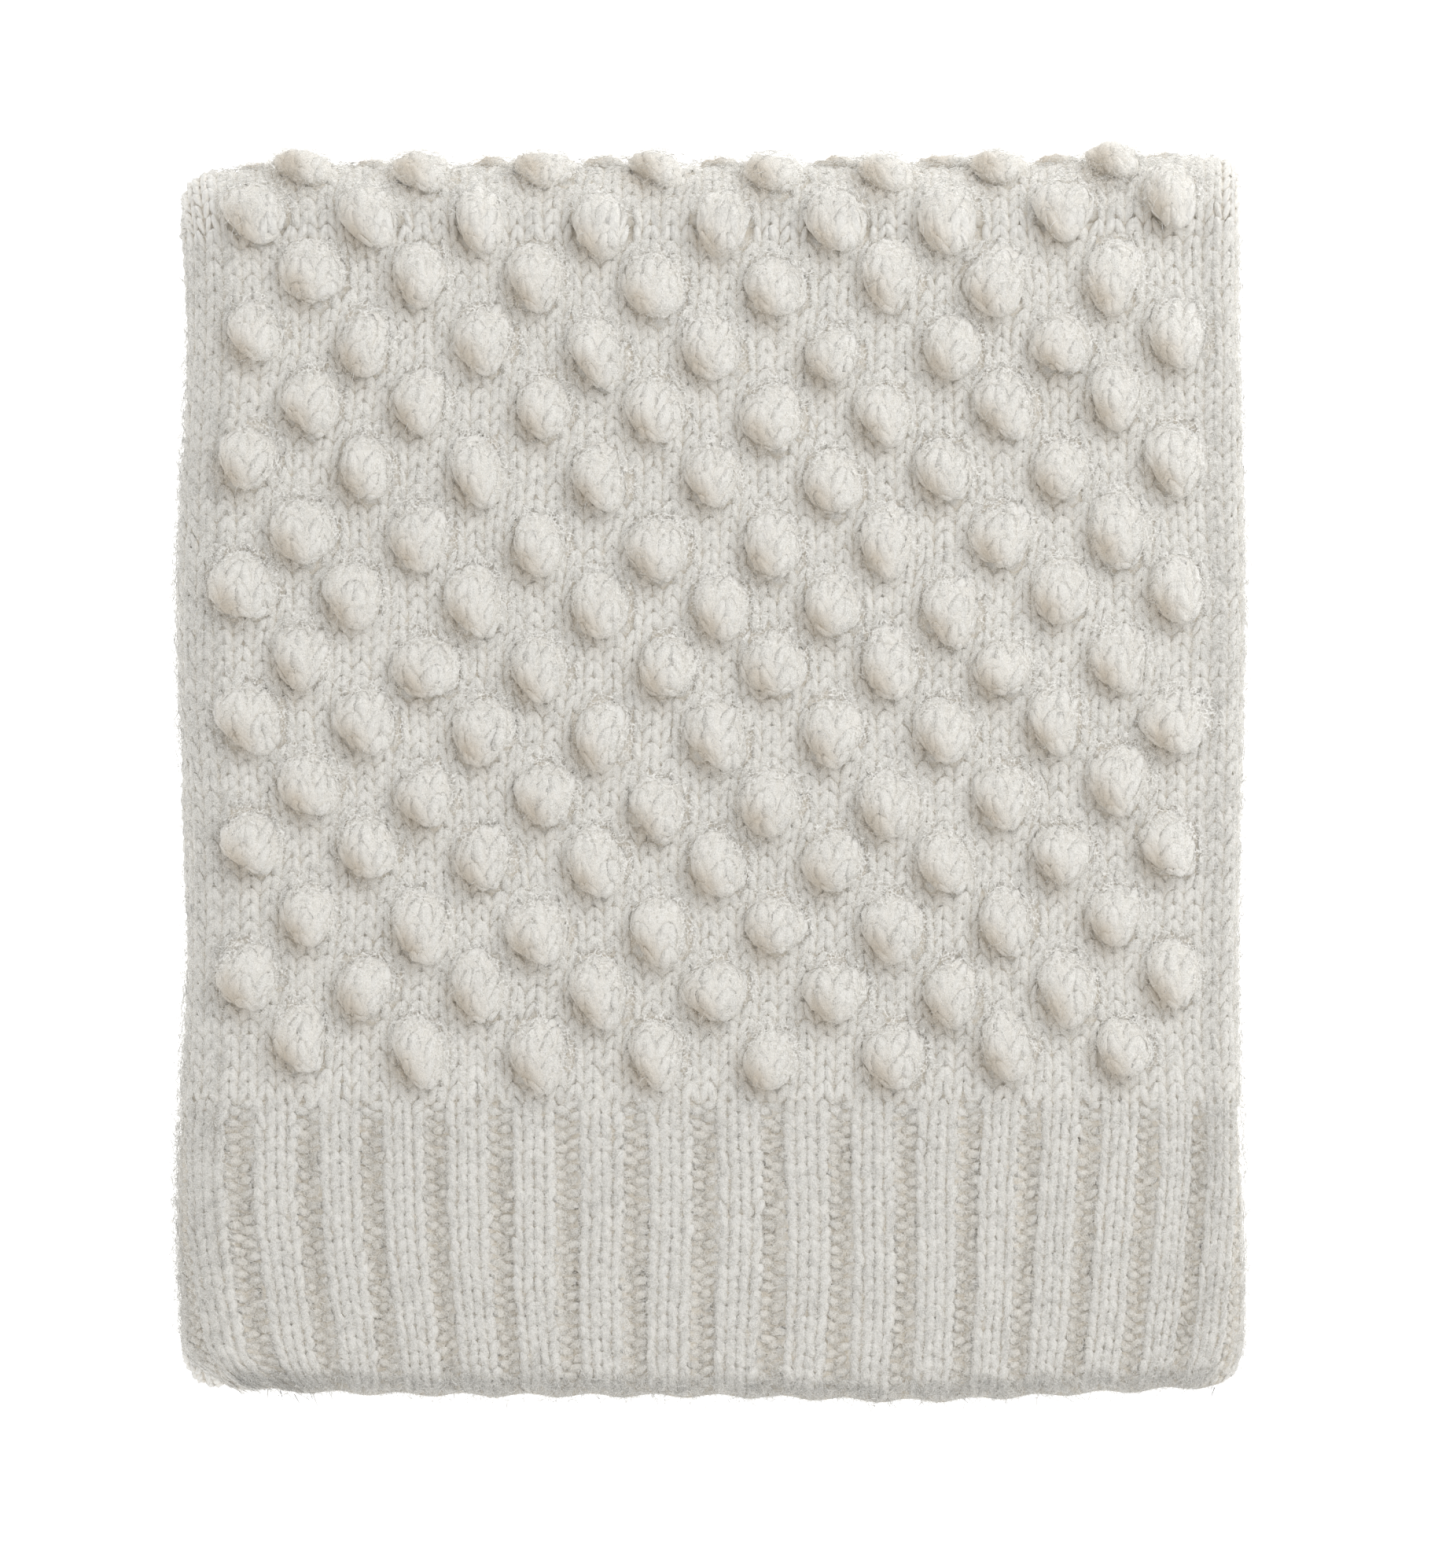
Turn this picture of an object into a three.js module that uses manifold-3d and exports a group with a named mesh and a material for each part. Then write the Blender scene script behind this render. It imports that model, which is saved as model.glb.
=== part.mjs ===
// Folded throw blanket: one wide piece of bobble knitting with a ribbed band at each short end.
// It is folded in thirds across its width (both wings behind the centre) and then in thirds along
// its length (a Z fold), so that nine layers lie on each other.
// Units are millimetres, +Z is up. The origin is under the middle of the pile, on its underside.
// +X runs across the folded width and +Y runs along the folded length, towards the top fold.
import * as THREE from 'three';
import { mergeVertices } from 'three/addons/utils/BufferGeometryUtils.js';
import Module from 'manifold-3d';

// ---- driving dimensions -------------------------------------------------------------------

const foldedWidth = 442;          // across the pile, over the side folds
const foldedLength = 514;         // along the pile, over the end folds
const layerThickness = 9.2;       // one knitted layer with its squashed bobbles
const clearance = 0.3;            // between any two pieces that lie on or beside each other

const wingSetback = 18;           // the left wing's free edge stops this far inside the right fold
const tuckedSetback = 15;         // the right wing's free edge stops this far inside the left fold
const cornerInset = 6;            // how far the outer end folds draw in at the corners

const hemLength = 124;            // length of the ribbed band
const hemEdgeSetback = 5;         // the lower band ends this far inside the outline
const ribPitch = 26.5;            // one raised rib and one recessed channel
const ribChannelWidth = 9;
const ribChannelDepth = 3;

const bobblePitch = 48;           // between bobbles of one row
const bobbleRowPitch = 26.6;      // between rows, every second row shifted by half a pitch
const bobbleWidth = 24.5;
const bobbleLength = 29.5;
const bobbleHeight = 10;          // above the knitted ground
const bobbleEdgeBand = 0.5;       // flat knitting left between the side folds and a bobble
const firstBobbleRow = 22;        // from the ribbed band to the middle of the nearest bobble row

const labelWidth = 12;
const labelLength = 45;
const labelThickness = 1.2;
const labelFromHem = 60;          // from the ribbed band to the near edge of the label

const foldSteps = 14;             // flats round a half turn of a fold
const bobbleSegments = 8;         // flats round a bobble

// ---- what follows from them ---------------------------------------------------------------

const layerPitch = layerThickness + clearance;
const halfClearance = clearance / 2;
const layersPerSection = 3;
const halfLength = foldedLength / 2;

const smallFoldOuter = halfClearance + layerThickness;
const wideFoldOuter = layerPitch + layerThickness / 2;
const wideFoldInner = layerThickness / 2 + clearance;
const endFoldOuter = halfClearance + (layersPerSection - 1) * layerPitch + layerThickness;

const rightFoldX = foldedWidth / 2 - smallFoldOuter;
const leftFoldX = -foldedWidth / 2 + wideFoldOuter;
const topFoldY = halfLength - endFoldOuter - halfClearance;
const bottomFoldY = -topFoldY;
const rightWingFreeX = leftFoldX + tuckedSetback;
const leftWingFreeX = rightFoldX - wingSetback;

const wool = new THREE.MeshStandardMaterial({ color: 0xe4e0d6, roughness: 0.95, metalness: 0 });
const ribWool = new THREE.MeshStandardMaterial({ color: 0xdcd8cd, roughness: 0.95, metalness: 0 });
const satin = new THREE.MeshStandardMaterial({ color: 0xf4f3ef, roughness: 0.6, metalness: 0 });

const wasm = await Module();
wasm.setup();

const pile = new THREE.Group();

// ---- helpers ------------------------------------------------------------------------------

function layerBase(layer) {
  return layer * layerPitch;
}

function addPiece(group, name, geometry, material) {
  const mesh = new THREE.Mesh(geometry, material);
  mesh.name = name;
  group.add(mesh);
  return mesh;
}

// A flat stretch of one layer, between two values of x and of y.
function flatPanel(x, y, layer) {
  const geometry = new THREE.BoxGeometry(x[1] - x[0], y[1] - y[0], layerThickness);
  const z = layerBase(layer) + layerThickness / 2;
  return geometry.translate((x[0] + x[1]) / 2, (y[0] + y[1]) / 2, z);
}

// Half a thick ring with its centre at the shape's origin, bulging towards +x of the shape.
function halfRing(inner, outer) {
  const shape = new THREE.Shape();
  shape.absarc(0, 0, outer, -Math.PI / 2, Math.PI / 2, false);
  shape.absarc(0, 0, inner, Math.PI / 2, -Math.PI / 2, true);
  shape.closePath();
  return shape;
}

// The rounded edge along Y where a section's layers turn over; side is +1 on the right.
function sideFold(side, z, inner, outer, y) {
  const geometry = new THREE.ExtrudeGeometry(halfRing(inner, outer), {
    depth: y[1] - y[0], bevelEnabled: false, curveSegments: foldSteps,
  });
  geometry.rotateX(Math.PI / 2);
  if (side < 0) geometry.rotateZ(Math.PI);
  const x = side > 0 ? rightFoldX : leftFoldX;
  return geometry.translate(x, side > 0 ? y[1] : y[0], z);
}

// The rounded edge along X where two sections join; end is +1 at the top fold. Ring 0 is innermost.
function endFold(end, z, ring, x) {
  const inner = halfClearance + ring * layerPitch;
  const geometry = new THREE.ExtrudeGeometry(halfRing(inner, inner + layerThickness), {
    depth: x[1] - x[0], bevelEnabled: false, curveSegments: foldSteps,
  });
  geometry.rotateX(Math.PI / 2);
  geometry.rotateZ(end * Math.PI / 2);
  const y = end > 0 ? topFoldY + halfClearance : bottomFoldY - halfClearance;
  return geometry.translate(end > 0 ? x[0] : x[1], y, z);
}

// A stretch of rib seen end on: flat underneath, recessed channels between the ribs on top.
function ribbedPanel(x, y, layer) {
  const outline = new THREE.Shape();
  outline.moveTo(x[0], 0);
  outline.lineTo(x[1], 0);
  outline.lineTo(x[1], layerThickness);
  const channels = Math.floor((x[1] - x[0] - ribChannelWidth) / ribPitch);
  const middle = (x[0] + x[1]) / 2;
  for (let index = channels - 1; index >= 0; index -= 1) {
    const centre = middle + (index - (channels - 1) / 2) * ribPitch;
    outline.lineTo(centre + ribChannelWidth / 2, layerThickness);
    outline.lineTo(centre + ribChannelWidth / 4, layerThickness - ribChannelDepth);
    outline.lineTo(centre - ribChannelWidth / 4, layerThickness - ribChannelDepth);
    outline.lineTo(centre - ribChannelWidth / 2, layerThickness);
  }
  outline.lineTo(x[0], layerThickness);
  outline.closePath();
  const geometry = new THREE.ExtrudeGeometry(outline, { depth: y[1] - y[0], bevelEnabled: false });
  geometry.rotateX(Math.PI / 2);
  return geometry.translate(0, y[1], layerBase(layer));
}

function toSolid(geometry) {
  const bare = geometry.clone();
  bare.deleteAttribute('normal');
  bare.deleteAttribute('uv');
  const merged = mergeVertices(bare, 1e-4);
  return new wasm.Manifold(new wasm.Mesh({
    numProp: 3,
    vertProperties: new Float32Array(merged.attributes.position.array),
    triVerts: new Uint32Array(merged.index.array),
  }));
}

function fromSolid(solid) {
  const mesh = solid.getMesh();
  const geometry = new THREE.BufferGeometry();
  geometry.setAttribute('position', new THREE.BufferAttribute(mesh.vertProperties, 3));
  geometry.setIndex(new THREE.BufferAttribute(mesh.triVerts, 1));
  geometry.computeVertexNormals();
  return geometry;
}

// The middles of the bobbles that stand on a flat stretch of the front, row by row.
function bobblePlaces(y) {
  const places = [];
  const spread = 2 * (Math.min(-leftFoldX, rightFoldX) - bobbleEdgeBand) - bobbleWidth;
  const longRow = Math.floor(spread / bobblePitch) + 1;
  const reach = y[1] - y[0] - firstBobbleRow - bobbleLength / 2;
  const rows = Math.floor(reach / bobbleRowPitch) + 1;
  for (let row = 0; row < rows; row += 1) {
    const count = row % 2 === 0 ? longRow - 1 : longRow;
    for (let index = 0; index < count; index += 1) {
      const across = (index - (count - 1) / 2) * bobblePitch;
      places.push([across, y[0] + firstBobbleRow + row * bobbleRowPitch]);
    }
  }
  return places;
}

// The front of the throw: a flat stretch with its bobbles knitted on.
function bobbledPanel(x, y, layer) {
  const ground = toSolid(flatPanel(x, y, layer));
  const top = layerBase(layer) + layerThickness;
  const bobbles = bobblePlaces(y).map(([across, along]) => {
    const ball = new THREE.SphereGeometry(1, bobbleSegments, bobbleSegments / 2);
    ball.rotateX(Math.PI / 2);
    ball.scale(bobbleWidth / 2, bobbleLength / 2, bobbleHeight);
    const solid = toSolid(ball.translate(across, along, top));
    return solid.trimByPlane([0, 0, 1], top - layerThickness / 2);
  });
  return fromSolid(wasm.Manifold.union([ground, ...bobbles]));
}

// ---- one third of the length: three layers, joined by a small and a wide side fold ---------

// order lists the layers of the centre panel, the right wing and the left wing, from the floor up.
function addSection(prefix, y, order, centrePanel) {
  const group = new THREE.Group();
  const [centre, rightWing, leftWing] = order;
  const wideZ = layerBase(rightWing) + layerThickness / 2;
  const smallZ = layerBase(Math.max(centre, rightWing)) - halfClearance;
  const inner = [leftFoldX + halfClearance, rightFoldX - halfClearance];
  addPiece(group, `${prefix}_centre`, centrePanel(inner, y, centre), wool);
  addPiece(group, `${prefix}_right_wing`, flatPanel([rightWingFreeX, inner[1]], y, rightWing), wool);
  addPiece(group, `${prefix}_left_wing`, flatPanel([inner[0], leftWingFreeX], y, leftWing), wool);
  const small = sideFold(1, smallZ, halfClearance, smallFoldOuter, y);
  addPiece(group, `${prefix}_right_fold`, small, wool);
  const wide = sideFold(-1, wideZ, wideFoldInner, wideFoldOuter, y);
  addPiece(group, `${prefix}_left_fold`, wide, wool);
  pile.add(group);
  return group;
}

function addHem(prefix, y, order, centrePanel) {
  const group = addSection(prefix, y, order, centrePanel);
  group.children.forEach((mesh) => { mesh.material = ribWool; });
}

const topHemEnd = -halfLength + hemLength;
const bottomHemStart = halfLength - hemEdgeSetback - hemLength;

const bottomOrder = [2, 1, 0];
const middleOrder = [3, 4, 5];
const topOrder = [8, 7, 6];

const topStretch = [topHemEnd + halfClearance, topFoldY - halfClearance];
const middleStretch = [bottomFoldY + halfClearance, topFoldY - halfClearance];
const bottomStretch = [bottomFoldY + halfClearance, bottomHemStart - halfClearance];
const topHemStretch = [-halfLength, topHemEnd - halfClearance];
const bottomHemStretch = [bottomHemStart + halfClearance, halfLength - hemEdgeSetback];

addSection('top', topStretch, topOrder, bobbledPanel);
addHem('front_hem', topHemStretch, topOrder, ribbedPanel);
addSection('middle', middleStretch, middleOrder, flatPanel);
addSection('bottom', bottomStretch, bottomOrder, flatPanel);
addHem('back_hem', bottomHemStretch, bottomOrder, flatPanel);

// ---- the two end folds, each three layers nested round each other --------------------------

const outerLeftX = -foldedWidth / 2 + cornerInset;
const outerRightX = foldedWidth / 2 - cornerInset;

function addEndFolds(prefix, end, z, reaches) {
  reaches.forEach(([name, reach], ring) => {
    addPiece(pile, `${prefix}_${name}`, endFold(end, z, ring, reach), wool);
  });
}

const topFoldZ = layerBase(6) - halfClearance;
const bottomFoldZ = layerBase(3) - halfClearance;

addEndFolds('top_fold', 1, topFoldZ, [
  ['left_wing', [leftFoldX, leftWingFreeX]],
  ['right_wing', [rightWingFreeX, rightFoldX]],
  ['centre', [outerLeftX, outerRightX]],
]);
addEndFolds('bottom_fold', -1, bottomFoldZ, [
  ['centre', [leftFoldX, rightFoldX]],
  ['right_wing', [rightWingFreeX, outerRightX]],
  ['left_wing', [outerLeftX, leftWingFreeX]],
]);

// ---- the care label, sewn to the tucked free edge of the right wing -------------------------

const labelStart = topHemEnd + labelFromHem;
const label = new THREE.BoxGeometry(labelWidth, labelLength, labelThickness);
label.translate(
  rightWingFreeX - clearance - labelWidth / 2,
  labelStart + labelLength / 2,
  layerBase(topOrder[1]) + layerThickness / 2,
);
addPiece(pile, 'care_label', label, satin);

export default pile;
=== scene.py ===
"""Folded throw blanket in hairy wool: bobble knitting with a ribbed band at each short end.

The cloth is described once, flat: u runs across it, s runs along it and "up" stands off its
right side. A few functions fold that description into the pile of nine layers that the loaded
frame holds, so the ground cloth, the stitches, the bobbles and the loose hairs all follow the
same folds. Lengths inside the shape functions are millimetres; meshes are stored in metres.
"""
import math

import bmesh
import bpy
import numpy as np
from mathutils import Matrix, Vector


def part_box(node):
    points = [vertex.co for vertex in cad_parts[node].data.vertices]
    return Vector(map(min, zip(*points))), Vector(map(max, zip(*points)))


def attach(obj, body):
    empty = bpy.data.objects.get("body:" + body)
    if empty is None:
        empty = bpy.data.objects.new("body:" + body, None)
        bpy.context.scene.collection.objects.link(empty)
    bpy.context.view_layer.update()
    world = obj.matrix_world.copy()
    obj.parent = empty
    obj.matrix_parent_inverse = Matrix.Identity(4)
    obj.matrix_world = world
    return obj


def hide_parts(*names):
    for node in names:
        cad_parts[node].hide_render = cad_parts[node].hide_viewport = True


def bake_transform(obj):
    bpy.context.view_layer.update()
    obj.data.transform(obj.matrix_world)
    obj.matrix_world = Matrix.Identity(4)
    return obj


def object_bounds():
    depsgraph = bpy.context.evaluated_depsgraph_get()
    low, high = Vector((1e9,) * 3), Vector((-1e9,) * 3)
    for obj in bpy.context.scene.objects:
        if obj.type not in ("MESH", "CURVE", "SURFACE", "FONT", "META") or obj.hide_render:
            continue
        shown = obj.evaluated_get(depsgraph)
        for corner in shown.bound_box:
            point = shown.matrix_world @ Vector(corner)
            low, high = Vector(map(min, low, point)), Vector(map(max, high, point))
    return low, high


bl_info = {
    "name": "Folded Bobble Throw",
    "version": (1, 0, 0),
    "blender": (4, 5, 0),
    "location": "View3D > Sidebar > Throw",
    "description": "Builds a folded bobble-knit throw blanket around its packed frame",
    "category": "Object",
}

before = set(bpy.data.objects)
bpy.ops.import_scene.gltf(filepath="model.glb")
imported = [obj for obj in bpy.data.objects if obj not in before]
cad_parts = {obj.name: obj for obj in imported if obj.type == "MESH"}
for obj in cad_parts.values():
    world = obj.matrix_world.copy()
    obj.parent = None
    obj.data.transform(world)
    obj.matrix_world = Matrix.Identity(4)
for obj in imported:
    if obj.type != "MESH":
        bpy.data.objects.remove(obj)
cad_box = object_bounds()

MM = 0.001


# ---- the pile, as the frame has it ----


def low(node, axis):
    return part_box(node)[0][axis] / MM


def high(node, axis):
    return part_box(node)[1][axis] / MM


THICKNESS = high("bottom_left_wing", 2) - low("bottom_left_wing", 2)
PITCH = low("bottom_right_wing", 2) - low("bottom_left_wing", 2)
GAP = PITCH - THICKNESS
LEFT_X = high("top_left_fold", 0)
RIGHT_X = low("top_right_fold", 0)
OUTER_X = high("top_right_fold", 0)
TUCKED_X = low("top_right_wing", 0)
FREE_X = high("top_left_wing", 0)
FRONT_Y = low("front_hem_centre", 1)
HEM_Y = high("front_hem_centre", 1) + GAP / 2
TOP_Y = low("top_fold_centre", 1) - GAP / 2
BOTTOM_Y = high("bottom_fold_left_wing", 1) + GAP / 2
BACK_HEM_Y = low("back_hem_centre", 1) - GAP / 2
BACK_Y = high("back_hem_centre", 1)
TOP_Z = low("top_left_wing", 2) - GAP / 2
BOTTOM_Z = low("middle_centre", 2) - GAP / 2
FACE = GAP / 2 + 2 * PITCH + THICKNESS
SMALL_TURN = GAP / 2 + THICKNESS
WIDE_TURN = PITCH + THICKNESS / 2

# Places across the cloth, measured over its right side from the middle of the centre panel.
RIGHT_END = RIGHT_X + math.pi * SMALL_TURN
LEFT_END = LEFT_X - math.pi * WIDE_TURN
TUCKED_EDGE = RIGHT_END + RIGHT_X - TUCKED_X
FREE_EDGE = LEFT_END - (FREE_X - LEFT_X)
RIGHT_SHOWN = RIGHT_END + RIGHT_X - FREE_X + 4.0

# Lengths along the cloth of each part, from the edge that comes first.
FOLD_ARC = math.pi * FACE
FOLD_SHOWN = (0.0, FOLD_ARC * 0.7)
MIDDLE_LENGTH = TOP_Y - BOTTOM_Y
BOTTOM_LENGTH = BACK_HEM_Y - BOTTOM_Y
BACK_LENGTH = BACK_Y - BOTTOM_Y


def smooth(value, start, end):
    t = np.clip((value - start) / (end - start), 0.0, 1.0)
    return t * t * (3 - 2 * t)


def wrap(u, up):
    """Fold the cloth across its width: gives x, and the height over the section's inner face."""
    turn = np.clip((u - RIGHT_X) / SMALL_TURN, 0, math.pi)
    past = np.maximum(u - RIGHT_END, 0)
    x = np.minimum(u, RIGHT_X) + (SMALL_TURN + up) * np.sin(turn) - past
    height = FACE - SMALL_TURN + (SMALL_TURN + up) * np.cos(turn)
    turn = np.clip((LEFT_X - u) / WIDE_TURN, 0, math.pi)
    past = np.maximum(LEFT_END - u, 0)
    left_x = LEFT_X - (WIDE_TURN + up) * np.sin(turn) + past
    left_height = FACE - WIDE_TURN + (WIDE_TURN + up) * np.cos(turn)
    on_left = u < LEFT_X
    return np.where(on_left, left_x, x), np.where(on_left, left_height, height)


CORNER = 24.0  # length over which the front corners round off
BACK_REACH = 50.0  # length of the lowest free end that is set in and thinned
BACK_PULL = 11.0
BACK_THINNING = 0.055


def settle(x, y, z, level):
    """A pile folded by hand: its edges wander and its free end draws in at the corners.

    The level is 0 in the top section, 1 in the middle one and 2 in the lowest.
    """
    left = smooth(-x, 40.0, OUTER_X)
    right = smooth(x, 40.0, OUTER_X)
    top = 1 - smooth(level, 0.0, 1.0)
    wander = 2.5 * np.sin(y / 39.8 + 2.85 + 1.9 * level) + 1.8 * top
    wander_right = 1.2 * np.sin(y / 45.0 + 2.3 * level) - 1.5 * smooth(level, 0.4, 1.0)
    front = np.clip(FRONT_Y + CORNER - y, 0, CORNER - 0.4) / CORNER
    inset = top * (1 - np.sqrt(np.maximum(1 - front * front, 0.0)))
    corner_left, corner_right = smooth(-x, 135.0, 205.0), smooth(x, 165.0, 212.0)
    x = x + left * wander + right * wander_right
    x = x + 25.0 * inset * corner_left - 9.0 * inset * corner_right
    end = smooth(-y, 190.0, 257.0) * top
    y = y + end * (4.5 * (x / 215.0) ** 4 - 2.2 * np.exp(-(((x - 84.0) / 50.0) ** 2)) + 0.6)
    back = smooth(y, 170.0, 245.0) * (1 - smooth(level, 0.5, 1.2))
    y = y + back * (4.0 * smooth(x, 120.0, 190.0) - 2.0 * smooth(-x, 150.0, 215.0))
    y = y + end * 0.8 * np.sin(x / 4.2 + 0.7)
    last = smooth(level, 1.99, 2.0)
    start = BACK_Y - BACK_REACH
    z = z * (1 - BACK_THINNING * last * smooth(y, start, BACK_Y - 22.0))
    y = y - BACK_PULL * last * smooth(y, start, BACK_Y)
    crown = smooth(z, 72.0, 84.0) * (1.1 * np.sin(x / 47.0 + 1.0) * np.sin(y / 59.0 + 0.5))
    return x, y, z + crown


def rounded_end(up, left):
    """The knitting rolls over at a free end, so its face and back run together there."""
    nose = np.clip(1 - left / 10.0, 0.0, 1.0)
    core = -THICKNESS / 2
    return core + (up - core) * np.sqrt(1 - 0.97 * nose**2)


def lay(part, u, s, up):
    """Fold a point of the flat cloth into the pile; s is measured from the part's first edge."""
    if part == "top":
        up = rounded_end(up, s - FRONT_Y)
    elif part == "bottom":
        up = rounded_end(up, BACK_LENGTH - s)
    x, height = wrap(u, up)
    if part == "top":
        y, z, level = s + 0 * u, TOP_Z + height, 0.0
    elif part == "top_fold":
        turn = s / FACE
        y, z, level = TOP_Y + height * np.sin(turn), TOP_Z + height * np.cos(turn), turn / math.pi
    elif part == "middle":
        y, z, level = TOP_Y - s, TOP_Z - height, 1.0
    elif part == "bottom_fold":
        turn = s / FACE
        height = TOP_Z - BOTTOM_Z - height
        y, z = BOTTOM_Y - height * np.sin(turn), BOTTOM_Z + height * np.cos(turn)
        level = 1 + turn / math.pi
    else:
        height = TOP_Z - BOTTOM_Z - height
        y, z, level = BOTTOM_Y + s, BOTTOM_Z - height, 2.0
    x, y, z = settle(x, y, z, level)
    return np.stack([x, y, z], axis=-1)


# ---- what a user would change ----


def length_of(name, description, default, least):
    """A length property, given here in millimetres and stored in metres."""
    return bpy.props.FloatProperty(
        name=name, description=description, default=default * MM, min=least * MM, unit="LENGTH")


def colour_of(name, description, default):
    return bpy.props.FloatVectorProperty(
        name=name, description=description, default=default, min=0, max=1, size=3,
        subtype="COLOR")


class ThrowSizes(bpy.types.PropertyGroup):
    column: length_of("Column width", "Width of one knitted column of the ground", 8.05, 4)
    row: length_of("Row height", "Height of one knitted row of the ground", 6.65, 3)
    rib_pitch: length_of("Rib pitch", "Width of one rib and one channel", 26.5, 10)
    rib_row: length_of("Rib row height", "Height of one knitted row of the ribs", 5.35, 3)
    rib_depth: length_of("Rib depth", "How far the channels lie below the ribs", 2.6, 0)
    bobble_pitch: length_of("Bobble pitch", "Distance between bobbles in a row", 48.0, 20)
    bobble_row_pitch: length_of("Bobble row pitch", "Distance between bobble rows", 26.6, 20)
    bobble_width: length_of("Bobble width", "Width of a bobble across the cloth", 24.0, 5)
    bobble_length: length_of("Bobble length", "Length of a bobble along the cloth", 29.5, 5)
    bobble_height: length_of("Bobble height", "How far a bobble stands up", 8.6, 2)
    first_bobble_row: length_of(
        "First bobble row", "From the ribbed band to the nearest row of bobbles", 22.0, 10)
    hair_length: length_of("Hair length", "Length of the loose hairs", 6.0, 1)
    hair_thickness: length_of("Hair thickness", "Thickness of one loose hair", 0.24, 0.02)


class ThrowColours(bpy.types.PropertyGroup):
    wool: colour_of("Wool", "Wool where it is lit", (0.94, 0.925, 0.885))
    # This colour is painted shade: it is mixed in low on each stitch, between the purl loops, in
    # the rib channels and a little over each bobble.
    hollow_shade: colour_of("Hollow", "Wool deep between the stitches", (0.84, 0.755, 0.62))
    # This colour is painted shade too: it lies on the lower left side of each bobble, the side away
    # from the light at the upper right.
    bobble_shade: colour_of("Neck", "Wool in the hollow under each bobble", (0.62, 0.53, 0.41))
    label: colour_of("Label", "The blank care label", (0.88, 0.87, 0.84))
    floor: colour_of("Floor", "The plain floor", (0.93, 0.93, 0.93))


def sizes():
    return bpy.context.scene.throw_sizes


def colours():
    return bpy.context.scene.throw_colours


# ---- materials ----


def joins(operation, reflected=False):
    """A method that makes one Math node from a wire and another wire or number."""
    def method(wire, other):
        pair = [other, wire] if reflected else [wire, other]
        return wire.shader.node("ShaderNodeMath", {"operation": operation}, pair)
    return method


class Wire:
    """A number socket that can be used in Python expressions."""

    def __init__(self, shader, socket):
        self.shader = shader
        self.socket = socket

    __add__ = joins("ADD")
    __radd__ = joins("ADD", reflected=True)
    __sub__ = joins("SUBTRACT")
    __rsub__ = joins("SUBTRACT", reflected=True)
    __mul__ = joins("MULTIPLY")
    __rmul__ = joins("MULTIPLY", reflected=True)
    __pow__ = joins("POWER")


class Shader:
    """One material's node tree, built from expressions and one node method."""

    def __init__(self, name):
        self.material = bpy.data.materials.new(name)
        self.material.use_nodes = True
        self.tree = self.material.node_tree
        self.surface = self.tree.nodes["Principled BSDF"]

    def node(self, kind, settings=None, inputs=(), output=0):
        made = self.tree.nodes.new(kind)
        for key, value in (settings or {}).items():
            setattr(made, key, value)
        items = inputs.items() if hasattr(inputs, "items") else enumerate(inputs)
        for key, value in items:
            if isinstance(value, Wire):
                self.tree.links.new(value.socket, made.inputs[key])
            else:
                made.inputs[key].default_value = value
        return Wire(self, made.outputs[output])

    def finish(self, values):
        """Set the surface's inputs from wires or plain values, and give back the material."""
        for name, value in values.items():
            if isinstance(value, Wire):
                self.tree.links.new(value.socket, self.surface.inputs[name])
            else:
                self.surface.inputs[name].default_value = value
        return self.material

    def attribute(self, name):
        return self.node("ShaderNodeAttribute", {"attribute_name": name}, output="Fac")

    def place(self):
        return self.node("ShaderNodeTexCoord", output="Object")

    def noise(self, where, scale, detail=2.0):
        inputs = {"Vector": where, "Scale": scale, "Detail": detail}
        return self.node("ShaderNodeTexNoise", inputs=inputs)

    def blend(self, factor, first, second):
        settings = {"data_type": "RGBA"}
        return self.node("ShaderNodeMix", settings, {0: factor, 6: first, 7: second}, output=2)

    def clamp(self, value):
        return self.node("ShaderNodeClamp", inputs=[value, 0.0, 1.0])

    def bands(self, where, axis, scale, distortion, detail=2.0):
        settings = {"wave_type": "BANDS", "bands_direction": axis}
        inputs = {"Vector": where, "Scale": scale, "Distortion": distortion, "Detail": detail}
        return self.node("ShaderNodeTexWave", settings, inputs)

    def bump(self, height, strength, distance):
        inputs = {"Strength": strength, "Distance": distance * MM, "Height": height}
        return self.node("ShaderNodeBump", inputs=inputs)


def tint(name, gain=1.0):
    """One of the throw's colours, made lighter or darker."""
    return tuple(min(c * gain, 1.0) for c in getattr(colours(), name)) + (1.0,)


def wool_material(name, gain, bump):
    """Matt hairy wool, with painted shade that makes it warmer and darker in the hollows and at the
    lower left of each bobble; each stitch is a little lighter or darker at random.
    """
    shader = Shader(name)
    where = shader.place()
    cloud = shader.noise(where, 55.0)
    fibre = shader.noise(where, 650.0, 5.0)
    stretched = shader.node(
        "ShaderNodeMapping", inputs={"Vector": where, "Scale": (900.0, 260.0, 900.0)})
    strands = shader.noise(stretched, 1.0, 3.0)
    # The depth attribute carries painted shade: where it is low, the warm shade colour is mixed in.
    depth = shader.attribute("depth")
    lit = shader.clamp(depth + 0.16 * (cloud - 0.5) + 0.10 * (fibre - 0.5))
    light, dark = (tint("wool", gain * share) for share in (1.015, 0.975))
    wool = shader.blend(shader.attribute("tone"), dark, light)
    colour = shader.blend(lit ** 0.8, tint("hollow_shade", gain), wool)
    return shader.finish({
        # The shade attribute lays painted shade from the bobble shade colour at the lower left of
        # each bobble.
        "Base Color": shader.blend(shader.attribute("shade"), colour, tint("bobble_shade")),
        "Normal": shader.bump(fibre + 0.8 * strands, bump, 1.1),
        "Roughness": 0.95,
        "Specular IOR Level": 0.15,
        "Sheen Weight": 0.25,
        "Sheen Roughness": 0.6,
        "Sheen Tint": (1.0, 0.98, 0.94, 1.0),
    })


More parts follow.
